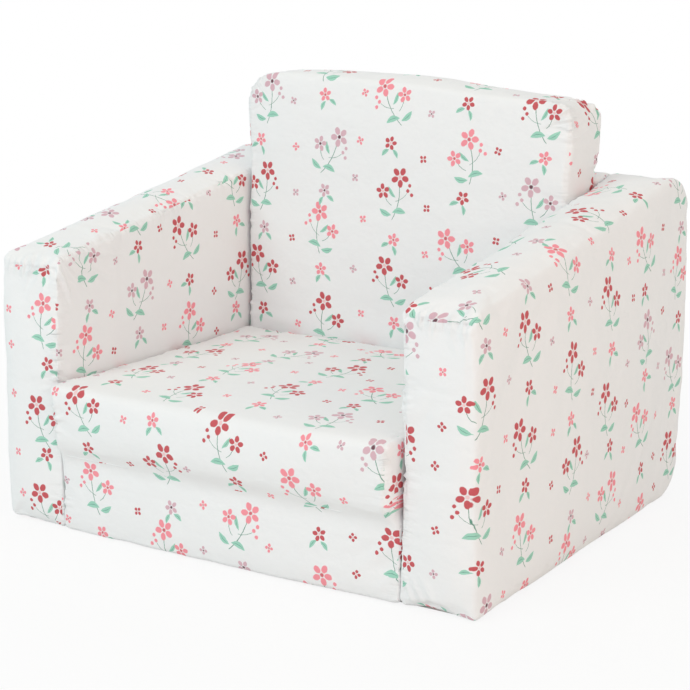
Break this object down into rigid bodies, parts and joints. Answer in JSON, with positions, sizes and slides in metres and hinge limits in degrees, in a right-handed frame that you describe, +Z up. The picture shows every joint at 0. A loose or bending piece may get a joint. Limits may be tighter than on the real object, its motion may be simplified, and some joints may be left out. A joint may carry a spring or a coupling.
{
  "type": "children's fold-out foam armchair",
  "caption": "Child's low armchair of cloth-covered foam blocks, with sloping arms, a raised back and a seat cushion that turns over forwards to lie on the floor as a leg rest.",
  "frame": {"origin": "on the floor, at the middle of the chair's footprint, folded up", "axes": "+Z up, front of the chair towards -Y, +X to the right as seen from the front"},
  "size_m": [0.6, 0.54, 0.484],
  "materials": {
    "cover_cloth": "smooth matt plain-weave cotton blend, near white, printed with small scattered coral, pink and mauve flowers and mint leaves",
    "foam": "cut open-cell foam, cream, fine pores",
    "underside_cloth": "pale grey plain cloth, slightly coarse",
    "zip_tape": "off-white woven tape with a fine nylon coil",
    "zip_metal": "small die-cast slider and stops, satin pale grey"
  },
  "bodies": {
    "root": {"left_arm_cover": "cover_cloth", "left_arm_foam": "foam", "right_arm_cover": "cover_cloth", "right_arm_foam": "foam", "rear_panel_cover": "cover_cloth", "rear_panel_foam": "foam", "back_cover": "cover_cloth", "back_foam": "foam", "base_cover": "cover_cloth", "base_foam": "foam", "base_cloth": "underside_cloth", "hinge_strip": "cover_cloth", "base_zip_tape_front": "zip_tape", "base_zip_tape_rear": "zip_tape", "base_zip_stop_left": "zip_metal", "base_zip_stop_right": "zip_metal"},
    "seat_cushion": {"seat_cover": "cover_cloth", "seat_foam": "foam", "seat_zip_tape_lower": "zip_tape", "seat_zip_tape_upper": "zip_tape", "seat_zip_stop_left": "zip_metal", "seat_zip_stop_right": "zip_metal"},
    "seat_slider": {"seat_zip_slider": "zip_metal"},
    "base_slider": {"base_zip_slider": "zip_metal"}
  },
  "joints": [
    {"name": "seat_flip", "type": "hinge", "parent": "root", "child": "seat_cushion", "pos_m": [0, -0.25825, 0.0888], "axis": [1, 0, 0], "range_deg": [0, 180]},
    {"name": "seat_zip_run", "type": "slide", "parent": "seat_cushion", "child": "seat_slider", "axis": [1, 0, 0], "range_m": [-0.3518, 0]},
    {"name": "base_zip_run", "type": "slide", "parent": "root", "child": "base_slider", "axis": [1, 0, 0], "range_m": [-0.3518, 0]}
  ]
}
